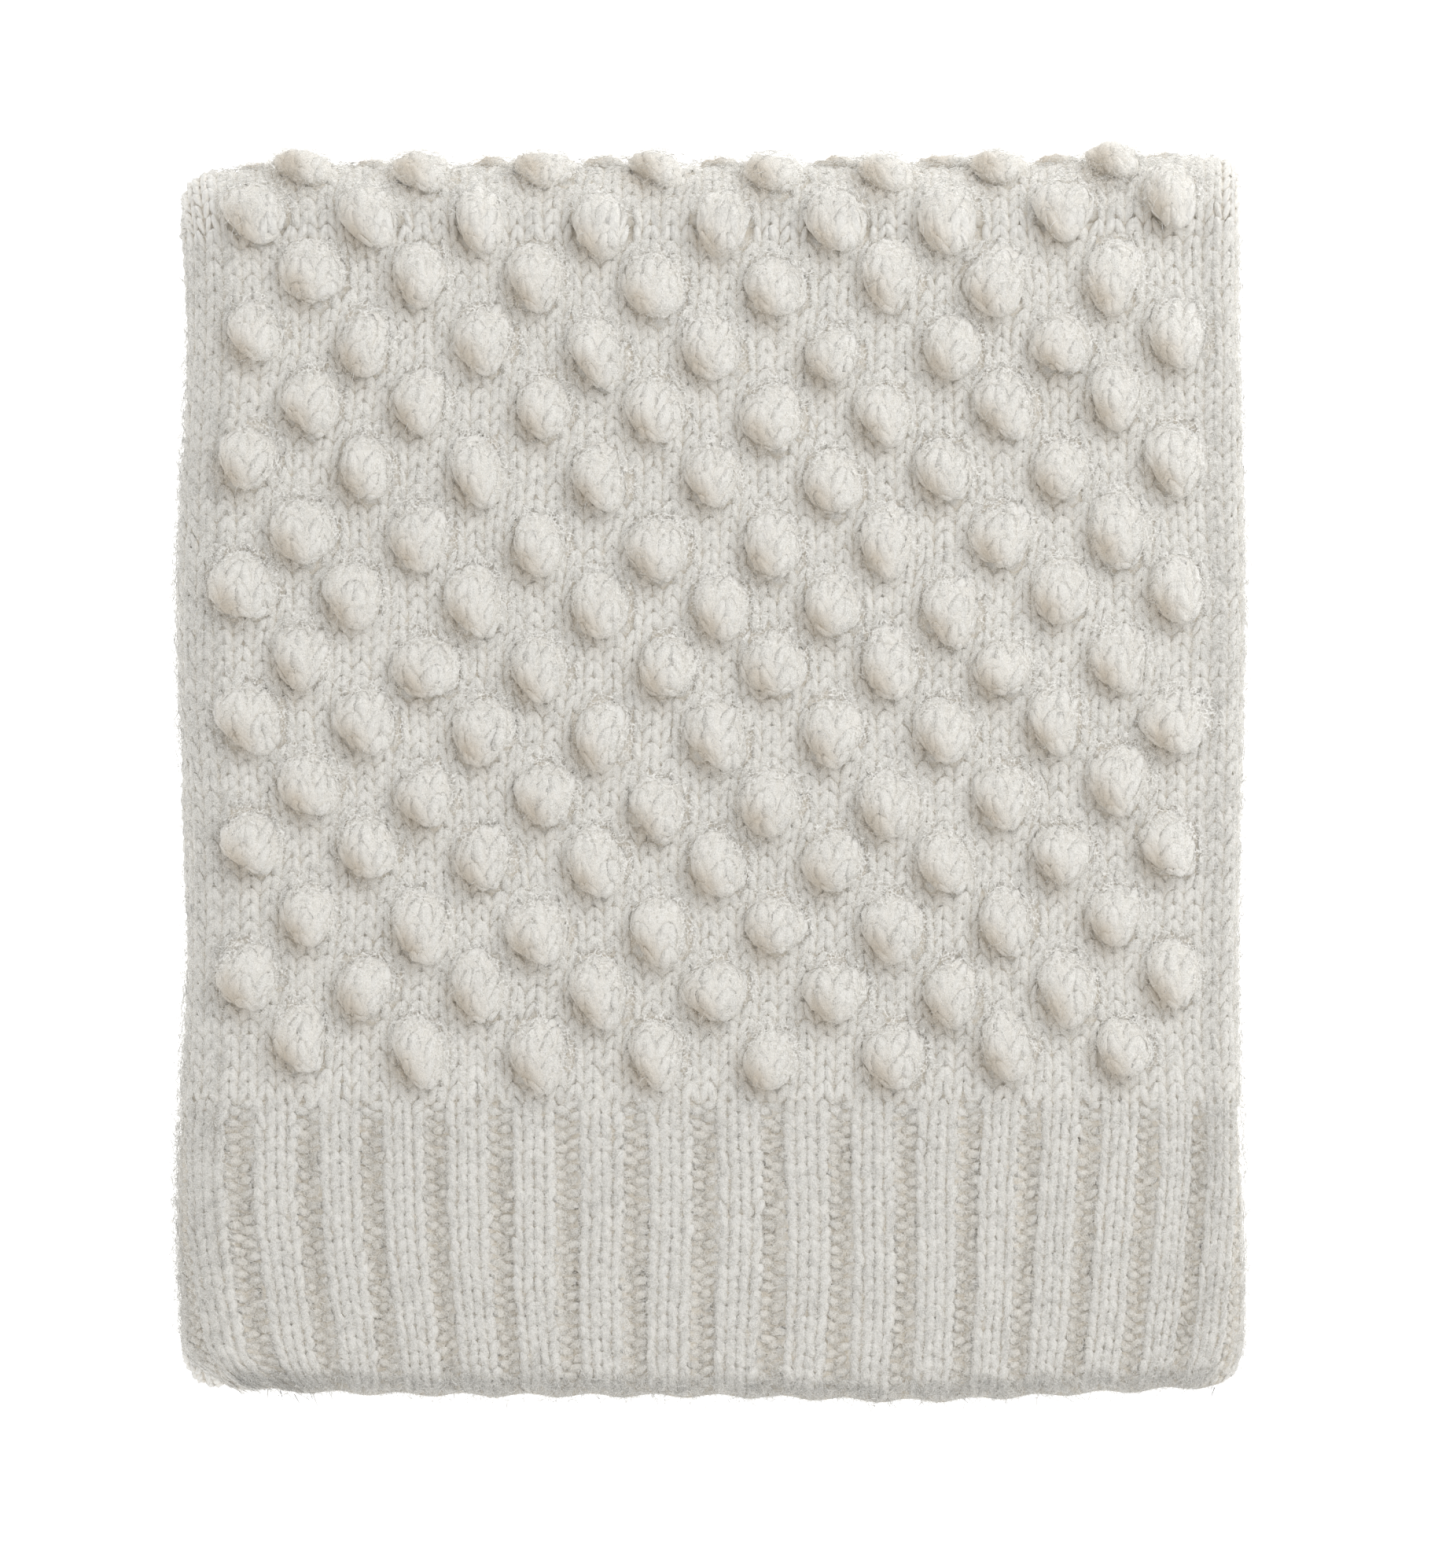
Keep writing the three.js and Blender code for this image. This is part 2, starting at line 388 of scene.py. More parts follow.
def ground_material(name):
    """The cloth under the stitches: purl rows that show where a fold opens. Its colour is painted
    shade: darker and warmer than the wool, as it shows in the gaps between the stitches, and
    darkest between the purl loops.
    """
    shader = Shader(name)
    where = shader.node("ShaderNodeUVMap", {"uv_map": "cloth"})
    one_a_unit = 0.314
    columns = shader.bands(where, "X", one_a_unit, 1.5, 1.0)
    rows = shader.bands(where, "Y", one_a_unit, 2.5, 1.0)
    loops = shader.clamp(0.25 + 0.75 * (columns * rows) ** 0.5)
    fibre = shader.noise(shader.place(), 900.0, 4.0)
    return shader.finish({
        "Base Color": shader.blend(loops, tint("hollow_shade", 0.92), tint("wool", 0.86)),
        "Normal": shader.bump(loops + 0.25 * fibre, 0.7, 1.4),
        "Roughness": 0.95,
        "Specular IOR Level": 0.1,
        "Sheen Weight": 0.3,
    })


def nap_material(name):
    """Fine curved strands with gaps between them, coloured as the wool they lie on, with the same
    painted shade in the rib channels and at the lower left of each bobble.
    """
    shader = Shader(name)
    where = shader.place()
    cover = 0.06
    for scale in (260.0, 340.0, 470.0):
        wander = shader.noise(where, scale, 1.0) - 0.5
        cover = cover + 0.24 * shader.clamp(1 - wander * wander * 900.0)
    colour = shader.blend(shader.attribute("depth"), tint("hollow_shade"), tint("wool"))
    return shader.finish({
        "Alpha": shader.clamp(cover * shader.attribute("full")),
        "Base Color": shader.blend(shader.attribute("shade"), colour, tint("bobble_shade")),
        "Roughness": 0.95,
        "Specular IOR Level": 0.1,
    })


def hair_material(name):
    """Single loose hairs, lighter than the mass of the wool."""
    shader = Shader(name)
    cloud = shader.noise(shader.place(), 160.0)
    return shader.finish({
        "Base Color": shader.blend(cloud, tint("wool", 0.94), tint("wool")),
        "Roughness": 0.9,
        "Sheen Weight": 0.3,
    })


def label_material(name):
    """Blank woven satin, with the fine ribs of its weave."""
    shader = Shader(name)
    weave = shader.bands(shader.place(), "Y", 700.0, 0.4)
    return shader.finish({
        "Base Color": shader.blend(weave, tint("label", 0.94), tint("label")),
        "Normal": shader.bump(weave, 0.3, 0.15),
        "Roughness": 0.45,
    })


def paper_material(name):
    """White paper lit from below as on a light table, so that it stays white all round."""
    shader = Shader(name)
    speckle = shader.noise(shader.place(), 30.0)
    return shader.finish({
        "Base Color": shader.blend(speckle, tint("floor", 0.995), tint("floor")),
        "Roughness": 0.9,
        "Specular IOR Level": 0.1,
        "Emission Color": (1.0, 1.0, 1.0, 1.0),
        "Emission Strength": 0.7,
    })


# Each material's maker, with the wool's gain and bump strength where it has them.
MAKERS = {
    "front_wool": (wool_material, 1.0, 0.8),
    "inner_wool": (wool_material, 0.97, 0.5),
    "rib_wool": (wool_material, 0.96, 0.8),
    "ground_wool": (ground_material,),
    "loose_hair": (hair_material,),
    "nap": (nap_material,),
    "label_satin": (label_material,),
    "floor_paper": (paper_material,),
}
MATERIALS = {}


def material(name):
    if name not in MATERIALS:
        maker, *values = MAKERS[name]
        MATERIALS[name] = maker(name, *values)
    return MATERIALS[name]


# ---- mesh helpers ----


def new_object(name, mesh):
    thing = bpy.data.objects.new(name, mesh)
    bpy.context.scene.collection.objects.link(thing)
    return thing


def from_bmesh(name, work):
    mesh = bpy.data.meshes.new(name)
    work.to_mesh(mesh)
    work.free()
    return new_object(name, mesh)


def slab(name, cells):
    """A closed flat box one unit high, its faces divided into cells."""
    work = bmesh.new()
    bmesh.ops.create_grid(work, x_segments=cells[0], y_segments=cells[1], size=0.5)
    made = bmesh.ops.extrude_face_region(work, geom=list(work.faces))["geom"]
    upper = [v for v in made if isinstance(v, bmesh.types.BMVert)]
    bmesh.ops.translate(work, verts=upper, vec=(0, 0, 1.0))
    bmesh.ops.recalc_face_normals(work, faces=work.faces)
    return from_bmesh(name, work)


def repeat(piece, counts, steps):
    """Array a small piece along x and then y, and apply the arrays."""
    for axis, (count, step) in enumerate(zip(counts, steps)):
        array = piece.modifiers.new("copies", "ARRAY")
        array.count = count
        array.use_relative_offset = False
        array.use_constant_offset = True
        array.constant_offset_displace = [step if axis == side else 0.0 for side in range(3)]
    bpy.context.view_layer.update()
    ready = piece.evaluated_get(bpy.context.evaluated_depsgraph_get())
    mesh = bpy.data.meshes.new_from_object(ready)
    piece.modifiers.clear()
    spare = piece.data
    piece.data = mesh
    bpy.data.meshes.remove(spare)
    mesh.name = piece.name
    return piece


def points(piece):
    flat = np.empty(len(piece.data.vertices) * 3)
    piece.data.vertices.foreach_get("co", flat)
    return flat.reshape(-1, 3)


SPACING = 4.0  # between unit balls or strands before they are put in their places


def copies(name, work, counts, steps):
    """A small piece repeated along x and y, and each copy's points about its own middle."""
    own = len(work.verts)
    piece = repeat(from_bmesh(name, work), counts, steps)
    co = points(piece).reshape(*counts[::-1], own, 3)
    for axis, (count, step) in enumerate(zip(counts, steps)):
        co[..., axis] -= np.arange(count).reshape(-1, *[1] * (axis + 1)) * step
    return piece, co


def move_points(piece, places):
    """Store places, in millimetres, as the piece's vertices, in metres."""
    piece.data.vertices.foreach_set("co", (places * MM).astype(np.float32).ravel())
    piece.data.update()


def store(piece, name, values):
    layer = piece.data.attributes.new(name, "FLOAT", "POINT")
    layer.data.foreach_set("value", np.asarray(values, np.float32).ravel())


def store_cloth_uv(piece, u, s):
    """A UV map whose unit is a column across and a row along."""
    layer = piece.data.uv_layers.new(name="cloth")
    corner = np.empty(len(piece.data.loops), np.int64)
    piece.data.loops.foreach_get("vertex_index", corner)
    pairs = np.stack([u[corner] / (sizes().column / MM), s[corner] / (sizes().row / MM)], axis=-1)
    layer.data.foreach_set("uv", pairs.astype(np.float32).ravel())


def lay_piece(piece, sheet, u, s, up):
    move_points(piece, lay(part_of(sheet), u.ravel(), s.ravel(), up.ravel()))


def spread_out(piece, span, reach):
    """A unit box's points laid over a rectangle of the flat cloth: u, s and the box's height."""
    co = points(piece)
    u = (co[:, 0] + 0.5) * (span[1] - span[0]) + span[0]
    s = (co[:, 1] + 0.5) * (reach[1] - reach[0]) + reach[0]
    return u, s, co[:, 2]


# The sheets that bend: across which span of the cloth, which panel of the CAD each stands for,
# and the height over which it bends.
RINGS = {
    "top_fold_left_cloth": ((FREE_EDGE, LEFT_X), "left_wing", 9.0),
    "top_fold_cloth": ((LEFT_X, RIGHT_X), "centre", 27.0),
    "top_fold_right_cloth": ((RIGHT_X, TUCKED_EDGE), "right_wing", 16.0),
    "bottom_fold_left_cloth": ((FREE_EDGE, LEFT_END), "left_wing", 27.0),
    "bottom_fold_cloth": ((LEFT_END, RIGHT_END), "centre", 9.0),
    "bottom_fold_right_cloth": ((RIGHT_END, TUCKED_EDGE), "right_wing", 16.0),
}
HEM_PARTS = {"front_hem_cloth": "top", "back_hem_cloth": "bottom"}
SHEETS = {}


def part_of(sheet):
    """The part of the folded cloth that a sheet belongs to, as lay() knows it."""
    first = sheet.split("_")[0]
    return f"{first}_fold" if sheet in RINGS else HEM_PARTS.get(sheet, first)


def finish_piece(piece, sheet, finish, nodes=()):
    """Give a piece its wool and make it belong to its sheet of the cloth; outside the folds it is
    also attached to its section's body, so it moves with it, while a fold's pieces are only baked
    in place.
    """
    piece.data.materials.clear()
    piece.data.materials.append(material(finish))
    piece.data.shade_smooth()
    if nodes:
        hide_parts(*nodes)
        SHEETS[sheet] = (piece, [])
    else:
        SHEETS[sheet][1].append(piece)
    part = part_of(sheet)
    if sheet not in RINGS:
        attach(piece, f"{part}_section")
        return
    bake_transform(piece)


# ---- the bobbles' places, and how the ground makes room for them ----


def bobble_places(span, reach, seed):
    """One row of (u, s, tilt, half width, half length, height) for each bobble.

    Every second row is shifted by half a pitch, and the rows sag a little in the middle.
    """
    size = sizes()
    rng = np.random.default_rng(seed)
    pitch = size.bobble_pitch / MM
    row_pitch = size.bobble_row_pitch / MM
    middle, half_span = (span[0] + span[1]) / 2, (span[1] - span[0]) / 2
    whole = int((span[1] - span[0] - size.bobble_width / MM) // pitch) + 1
    places = []
    for row in range(math.ceil((reach[1] - reach[0]) / row_pitch)):
        s = reach[0] + row * row_pitch
        count = whole - 1 if row % 2 == 0 else whole
        spread = 1.0 + 0.016 * max(1 - row / 4, 0)
        for index in range(count):
            u = (index - (count - 1) / 2) * pitch * spread
            bow = 9.0 * (u / half_span) ** 2 - 3.6
            places.append((
                middle + u + rng.normal(0, 1.3),
                s + bow + rng.normal(0, 1.5),
                math.radians(rng.normal(19.0, 9.0)),
                size.bobble_width / MM / 2 * rng.normal(1.0, 0.06),
                size.bobble_length / MM / 2 * rng.normal(1.0, 0.06),
                size.bobble_height / MM * rng.normal(1.0, 0.08),
            ))
    return np.array(places)


def front_bobbles():
    """All bobbles of the front, from the ribbed band up to the far side of the top fold."""
    start = HEM_Y + sizes().first_bobble_row / MM
    places = bobble_places((-OUTER_X + 12.0, OUTER_X - 12.0), (start, TOP_Y + 0.8 * FOLD_ARC), 11)
    turned = smooth(places[:, 1], TOP_Y + 43.0, TOP_Y + 52.0)
    places[:, 5] *= 1 - 0.3 * turned
    places[:, 3] *= 1 + 0.12 * turned
    places[:, 0] += 3.5 * np.exp(-(((places[:, 0] - 10.0) / 120.0) ** 2))
    places[:, 0] += 4.5 * turned * (1 - smooth(places[:, 0], 0.0, 200.0))
    return places


def over_the_fold(places):
    """The same bobbles, measured from the start of the top fold."""
    return places - np.array([0.0, TOP_Y, 0.0, 0.0, 0.0, 0.0])


LIFTED = 0.87  # stitches nearer to a bobble's middle than this share of it lie on top
ROOM = 1.5  # and those out to this share of it are pressed back
LEAN_LEFT = 3.0
LEAN_DOWN = 3.8


def bobble_frame(place, u, s):
    """Offsets from a bobble's middle, in its own turned frame and in its half sizes."""
    across, along = u - place[0], s - place[1]
    cosine, sine = math.cos(place[2]), math.sin(place[2])
    return (across * cosine + along * sine) / place[3], (along * cosine - across * sine) / place[4]


def from_frame(place, across, along):
    """The place on the cloth of an offset in a bobble's own turned frame."""
    cosine, sine = math.cos(place[2]), math.sin(place[2])
    u = place[0] + across * cosine - along * sine
    return u, place[1] + across * sine + along * cosine


def bobble_point(place, x, y, z, up):
    """A point of one bobble: x, y, z lie on a unit ball and up stands off its face.

    The bobble is narrower at its lower end and leans down and to the left.
    """
    around = np.arctan2(y, x)
    uneven = 1 + 0.07 * np.sin(2 * around + place[0]) + 0.05 * np.sin(3 * around + place[1])
    across = x * (place[3] + up) * (1 + 0.2 * y) * uneven
    along = y * (place[4] + up) * uneven
    u, s = from_frame(place, across, along)
    lean = np.clip(z, 0.0, 1.0)
    return u - LEAN_LEFT * lean, s - LEAN_DOWN * lean, z * (place[5] + up)


def carry(places, middle_u, middle_s, u, s, up):
    """Lift the stitches that lie on a bobble over it, and press the others back around it."""
    u, s, up = u.ravel().copy(), s.ravel().copy(), up.ravel().copy()
    middle_u, middle_s = middle_u.ravel(), middle_s.ravel()
    for place in places:
        reach = 2.0 * place[4]
        near = np.abs(middle_u - place[0]) < reach
        near &= np.abs(middle_s - place[1]) < reach
        near = np.flatnonzero(near)
        if not len(near):
            continue
        on_top = np.hypot(*bobble_frame(place, middle_u[near], middle_s[near])) < LIFTED
        chosen = near[on_top]
        x, y = bobble_frame(place, u[chosen], s[chosen])
        out = np.maximum(np.hypot(x, y), 1e-6)
        theta = np.minimum(out / LIFTED, 1.15) * math.radians(84)
        share = np.sin(theta) / out
        u[chosen], s[chosen], up[chosen] = bobble_point(
            place, x * share, y * share, np.cos(theta), up[chosen])
        chosen = near[~on_top]
        x, y = bobble_frame(place, u[chosen], s[chosen])
        out = np.maximum(np.hypot(x, y), LIFTED)
        slope = (ROOM - 1) / (ROOM - LIFTED)
        share = np.where(out < ROOM, 1 + (out - LIFTED) * slope, out) / out
        u[chosen], s[chosen] = from_frame(place, x * share * place[3], y * share * place[4])
    return u, s, up


def dome(places, u, s):
    """Height of the bobbles' tops over the stitches at each point."""
    height = np.zeros_like(u)
    for place in places:
        x, y = bobble_frame(place, u, s)
        height = np.maximum(height, place[5] * np.sqrt(np.maximum(1 - x * x - y * y, 0.0)))
    return height


def shaded_side(places, u, s):
    """How far each point lies in the painted shade at the lower left of a bobble, the side away
    from the light, from 0 to 1.
    """
    deep = np.zeros(np.shape(u))
    for place in places:
        across, along = u - place[0] + 7.0, s - place[1] + 8.0
        axis = 0.57 * across - 0.82 * along
        side = 0.82 * across + 0.57 * along
        deep = np.maximum(deep, np.exp(-((axis / 10.0) ** 2) - (side / 5.5) ** 2))
    return deep


def lit_side_cover(places, u, s):
    """How near each point lies to the foot of a bobble's upper right side, the side towards the
    light, from 0 to 1. The nap is thickened there: real fuzz, and painted light where its wool
    colour covers the shade of the crease.
    """
    near = np.zeros(np.shape(u))
    for place in places:
        x, y = bobble_frame(place, u, s)
        out = np.hypot(x, y)
        turned = np.clip((0.7 * x + 0.7 * y) / np.maximum(out, 0.01) + 0.45, 0.0, 1.0)
        near = np.maximum(near, turned * np.exp(-(((out - 1.0) / 0.3) ** 2)))
    return near


# ---- stitches ----


LEG = 1.6  # half the thickness of a leg of yarn
LEG_PITCH = 9.0  # how many degrees a leg dips under the next one


def add_leg(work, fine, middle, half, lean, pitch=0.0):
    """One plump stretch of yarn: a small ball drawn out along y, leaned and put in its place."""
    rings, sides = (5, 5) if fine else (3, 4)
    turn = Matrix.Rotation(math.radians(90), 4, "X")
    made = bmesh.ops.create_uvsphere(
        work, u_segments=sides, v_segments=rings, radius=1.0, matrix=turn)
    place = (
        Matrix.Translation(middle)
        @ Matrix.Rotation(math.radians(lean), 4, "Z")
        @ Matrix.Rotation(math.radians(pitch), 4, "X")
        @ Matrix.Diagonal((*half, 1.0))
    )
    bmesh.ops.transform(work, matrix=place, verts=made["verts"])


def knit_unit(column, row, fine):
    """One V of knitting: two legs that lean together at the bottom."""
    work = bmesh.new()
    for side in (-1, 1):
        middle = (side * column * 0.25, 0.0, 0.0)
        add_leg(work, fine, middle, (column * 0.29, row * 0.82, LEG), -side * 17.0, LEG_PITCH)
    return work


def rib_unit(pitch, row, fine):
    """Two raised columns of knitting and two sunk columns of purl bumps."""
    work = bmesh.new()
    leg = pitch * 0.162
    for index in range(4):
        side = -1 if index % 2 == 0 else 1
        middle = ((index - 1.5) * leg, 0.0, 0.0)
        add_leg(work, fine, middle, (leg * 0.58, row * 0.84, LEG), -side * 14.0, LEG_PITCH)
    for side in (-1, 1):
        middle = (pitch / 2 + side * pitch * 0.088, side * row * 0.25, 0.0)
        half = (pitch * 0.132, row * 0.38, 1.4)
        add_leg(work, fine, middle, half, side * (18.0 if fine else 12.0))
    return work


def rib_drop(u, s, part):
    """How far the ribbed band's face sinks into its channels, which start and end softly."""
    pitch = sizes().rib_pitch / MM
    phase = np.abs((u / pitch) % 1.0 - 0.5)
    inside = HEM_Y - s if part == "top" else s - BOTTOM_LENGTH
    soft = smooth(inside, -4.0, 14.0) * (1 - 0.4 * smooth(inside, 100.0, 124.0))
    return sizes().rib_depth / MM * (1 - smooth(phase, 0.10, 0.22)) * soft


def draw_in(u, s, part):
    """The ribs lean towards the middle as they near the free end, and bunch at the edges."""
    if part == "top":
        along = np.clip((HEM_Y - s) / (HEM_Y - FRONT_Y), 0, 1)
        pull = 5.0 + 11.0 * np.exp(-(((u - 70.0) / 100.0) ** 2))
        u = u + pull * (1 - smooth(np.abs(u), 180.0, 221.0))
    else:
        along = np.clip((s - BOTTOM_LENGTH) / (BACK_LENGTH - BOTTOM_LENGTH), 0, 1)
    return u * (1 - 0.05 * along**1.4)


def stitches(name, sheet, span, reach, fine, finish, seed, room=None, rib=False, sunk=0.0):
    """Knit a rectangle of the flat cloth and lay it in the pile; room holds the bobbles' places."""
    size = sizes()
    part = part_of(sheet)
    if rib:
        wide, tall, legs = size.rib_pitch / MM, size.rib_row / MM, 6
        first = math.ceil(span[0] / wide - 0.5)
        columns = math.floor(span[1] / wide + 0.5) - first
    else:
        wide, tall, legs = size.column / MM, size.row / MM, 2
        first = round(span[0] / wide)
        columns = round(span[1] / wide) - first
    rows = max(round((reach[1] - reach[0]) / tall), 1)
    tall = (reach[1] - reach[0]) / rows
    unit = (rib_unit if rib else knit_unit)(wide, tall, fine)
    piece, co = copies(name, unit, (columns, rows), (wide, tall))
    column = np.arange(columns).reshape(1, -1, 1)
    row = np.arange(rows).reshape(-1, 1, 1)
    rng = np.random.default_rng(seed)
    count = co.shape[2]
    owner = np.arange(count) // (count // legs)

    def vary(amount):
        return rng.normal(0, amount, (rows, columns, legs))[..., owner]

    swell = 1 + vary(0.06)
    shift_u, shift_s, rise = vary(0.28), vary(0.35), vary(0.18)
    tone = np.clip(0.5 + vary(0.28), 0, 1)
    middle = (column + first + (0.0 if rib else 0.5)) * wide
    middle_s = reach[0] + (row + 0.5) * tall
    u = middle + co[..., 0] * swell + shift_u
    s = middle_s + co[..., 1] + shift_s
    up = co[..., 2] * swell + rise
    # Painted shade: the depth attribute is low at the bottom of each leg, where the warm shade
    # colour is mixed in.
    depth = smooth(co[..., 2], -1.4, 1.1)
    if rib:
        s = np.maximum(s, FRONT_Y + 0.3) if part == "top" else np.minimum(s, BACK_LENGTH - 0.3)
    wave = 0.7 * np.sin(s / 37.0 + middle / 29.0) + 0.5 * np.sin(s / 17.0 + middle / 53.0)
    u = u + wave
    if rib:
        drop = rib_drop(u - wave - shift_u, s, part)
        up = up - drop
        # Painted shade in the rib channels: their stitches take more of the warm shade colour.
        depth = depth * (1 - 0.25 * smooth(drop, 0.5, 3.0))
        u = draw_in(u, s, part)
    up = up - LEG - sunk
    if sunk:
        up = np.minimum(up, -0.2)
    if room is not None:
        middle_u = np.broadcast_to(middle + wave.mean(axis=-1, keepdims=True), u.shape)
        middle_s = np.broadcast_to(middle_s, u.shape)
        u, s, up = carry(room, middle_u, middle_s, u, s, up)
        # Painted shade at the lower left of each bobble, the side away from the light.
        store(piece, "shade", 0.7 * shaded_side(room, u, s))
    lay_piece(piece, sheet, u, s, up)
    store(piece, "depth", depth)
    store(piece, "tone", tone)
    finish_piece(piece, sheet, finish)


# ---- bobbles ----


def bobbles(name, sheet, places, fine):
    """Round knitted clusters: full under the stitches of the front, pressed flat inside."""
    work = bmesh.new()
    if fine:
        bmesh.ops.create_uvsphere(work, u_segments=20, v_segments=12, radius=1.0)
    else:
        bmesh.ops.create_icosphere(work, subdivisions=2, radius=1.0)
    piece, co = copies(name, work, (len(places),), (SPACING,))
    u, s, up = (np.empty(co.shape[:2]) for _ in range(3))
    rng = np.random.default_rng(60)
    for index, place in enumerate(places):
        x, y, z = co[index].T
        if fine:
            swell = -1.0 + rng.normal(0, 0.22, len(x))
            u[index], s[index], up[index] = bobble_point(place, x, y, z, swell)
            up[index] = np.maximum(up[index], -4.5)
        else:
            flat = place.copy()
            flat[5] = 2.6
            z = np.sign(z) * np.abs(z) ** 0.6
            u[index], s[index], up[index] = bobble_point(flat, x, y, z, 0.0)
            up[index] = np.minimum(up[index] - 2.8, -0.1)
    lay_piece(piece, sheet, u, s, up)
    # Painted shade: every bobble takes a little of the warm shade colour all over, and the front
    # ones more at their lower left, the side away from the light.
    store(piece, "depth", np.full(u.shape, 0.85))
    store(piece, "shade", 0.75 * shaded_side(places, u, s) if fine else np.zeros(u.shape))
    store(piece, "tone", np.full(u.shape, 0.5))
    finish_piece(piece, sheet, "front_wool" if fine else "inner_wool")


# ---- loose hairs ----


def strand_unit():
    """A thin closed spindle along x, three-sided and thickest in the middle."""
    work = bmesh.new()
    turn = Matrix.Rotation(math.radians(90), 4, "Y")
    bmesh.ops.create_uvsphere(
        work, u_segments=3, v_segments=2, radius=1.0,
        matrix=Matrix.Translation((1.0, 0, 0)) @ turn)
    return work


LOOSE = 4.0  # the hairs' ends are drawn in softly from here on past the pile's box


def hairs(name, sheet, span, reach, number, seed, stand, places=None, rib=False):
    """Scatter loose hairs over one side of a part; stand says how steeply they rise."""
    size = sizes()
    part = part_of(sheet)
    piece, co = copies(name, strand_unit(), (number,), (SPACING,))
    along = co[..., 0] / 2.0
    rng = np.random.default_rng(seed)

    def draw(start, end):
        return rng.uniform(start, end, (number, 1))

    root_u, root_s = draw(*span), draw(*reach)
    length = size.hair_length / MM * np.minimum(rng.gamma(4.0, 0.25, (number, 1)), 1.7)
    heading = draw(0, 2 * math.pi)
    direction = heading + draw(-2.4, 2.4) * along
    steep = stand * draw(-0.1, 1.0)
    thick = size.hair_thickness / MM / 2 * draw(0.7, 1.3)
    u = root_u + length * along * np.cos(direction) * np.cos(steep)
    s = root_s + length * along * np.sin(direction) * np.cos(steep)
    base = 0.0
    if rib:
        base = -rib_drop(root_u, root_s, part)
        u = draw_in(u, s, part)
    if places is not None:
        base = dome(places, root_u, root_s)
    up = base + 0.1 + length * along * np.sin(steep) * (1 - 0.3 * along)
    u = u + co[..., 1] * thick * np.sin(direction)
    s = s - co[..., 1] * thick * np.cos(direction)
    up = up + co[..., 2] * thick
    placed = lay(part, u.ravel(), s.ravel(), up.ravel())
    lows, highs = (np.array(corner) / MM for corner in cad_box)
    middle, half = (lows + highs) / 2, (highs - lows) / 2 + LOOSE
    beyond = np.maximum(np.abs(placed - middle) - half, 0.0)
    placed -= np.sign(placed - middle) * (beyond - LOOSE * (1 - np.exp(-beyond / LOOSE)))
    move_points(piece, placed)
    finish_piece(piece, sheet, "loose_hair")


# ---- the nap ----


NAP_CELL = 3.0


def nap(name, sheet, span, reach, places):
    """The haze of fine hairs over the stitches: one coat that follows the bobbles and ribs."""
    part = part_of(sheet)
    piece = slab(name, [round((side[1] - side[0]) / NAP_CELL) for side in (span, reach)])
    u, s, level = spread_out(piece, span, reach)
    swollen = places * np.array([1, 1, 1, 1.1, 1.1, 1.08])
    swollen = swollen - np.array([1.6, 2.0, 0, 0, 0, 0])
    up = 0.5 + dome(swollen, u, s)
    depth = np.ones(u.shape)
    # Painted shade at the lower left of each bobble, the side away from the light.
    store(piece, "shade", 0.7 * shaded_side(places, u, s))
    lit_cover = lit_side_cover(places, u, s)
    if part == "top":
        drop = rib_drop(u, s, part)
        up = up - drop
        # Painted shade in the rib channels.
        depth = depth * (1 - 0.3 * smooth(drop, 0.5, 3.0))
        u = np.where(s < HEM_Y, draw_in(u, s, part), u)
        full = 1 - smooth(s, TOP_Y - 8.0, TOP_Y - 0.5)
    else:
        full = smooth(s, 0.5, 8.0)
    up = np.where(level > 0.5, up, -4.0)
    move_points(piece, lay(part, u, s, up))
    store(piece, "depth", depth)
    # The nap is thicker at the foot of each bobble's upper right side: real fuzz, and painted light
    # where its wool colour covers the crease on the side towards the light.
    store(piece, "full", full * (1 + 1.5 * lit_cover))
    finish_piece(piece, sheet, "nap")


# ---- the ground cloth ----


def ground(name, span, reach, cells, nodes, rib=False):
    """One part of the cloth as a thick sheet, folded with the rest."""
    part = part_of(name)
    piece = slab(name, cells)
    u, s, level = spread_out(piece, span, reach)
    back, face = -THICKNESS + 0.3, -1.8
    up = back + level * (face - back)
    if rib:
        up = np.where(level > 0.5, up - rib_drop(u, s, part), up)
        u = draw_in(u, s, part)
    move_points(piece, lay(part, u, s, up))
    if part in ("middle", "bottom_fold", "bottom"):
        piece.data.flip_normals()
    store_cloth_uv(piece, u, s)
    finish_piece(piece, name, "ground_wool", nodes)


def section_nodes(prefix):
    return [f"{prefix}_{name}" for name in (
        "centre", "right_wing", "left_wing", "right_fold", "left_fold")]


class THROW_OT_ground(bpy.types.Operator):
    """Make the ground cloth of the three sections, both ribbed bands and the two end folds"""

    bl_idname = "throw.ground"
    bl_label = "Ground Cloth"

    def execute(self, context):
        whole = (FREE_EDGE, TUCKED_EDGE)
        front_hem = (FRONT_Y + 1.5, HEM_Y)
        back_hem = (BOTTOM_LENGTH, BACK_LENGTH - 1.5)
        table = [
            ("top", (HEM_Y, TOP_Y), (250, 24), False),
            ("front_hem", front_hem, (560, 18), True),
            ("middle", (0.0, MIDDLE_LENGTH), (250, 30), False),
            ("bottom", (0.0, BOTTOM_LENGTH), (250, 24), False),
            ("back_hem", back_hem, (560, 18), True),
        ]
        for prefix, reach, cells, rib in table:
            ground(f"{prefix}_cloth", whole, reach, cells, section_nodes(prefix), rib)
        for name, (span, panel, _) in RINGS.items():
            cells = (round((span[1] - span[0]) / 5), 24)
            ground(name, span, (0.0, FOLD_ARC), cells, [f"{part_of(name)}_{panel}"])
        return {"FINISHED"}


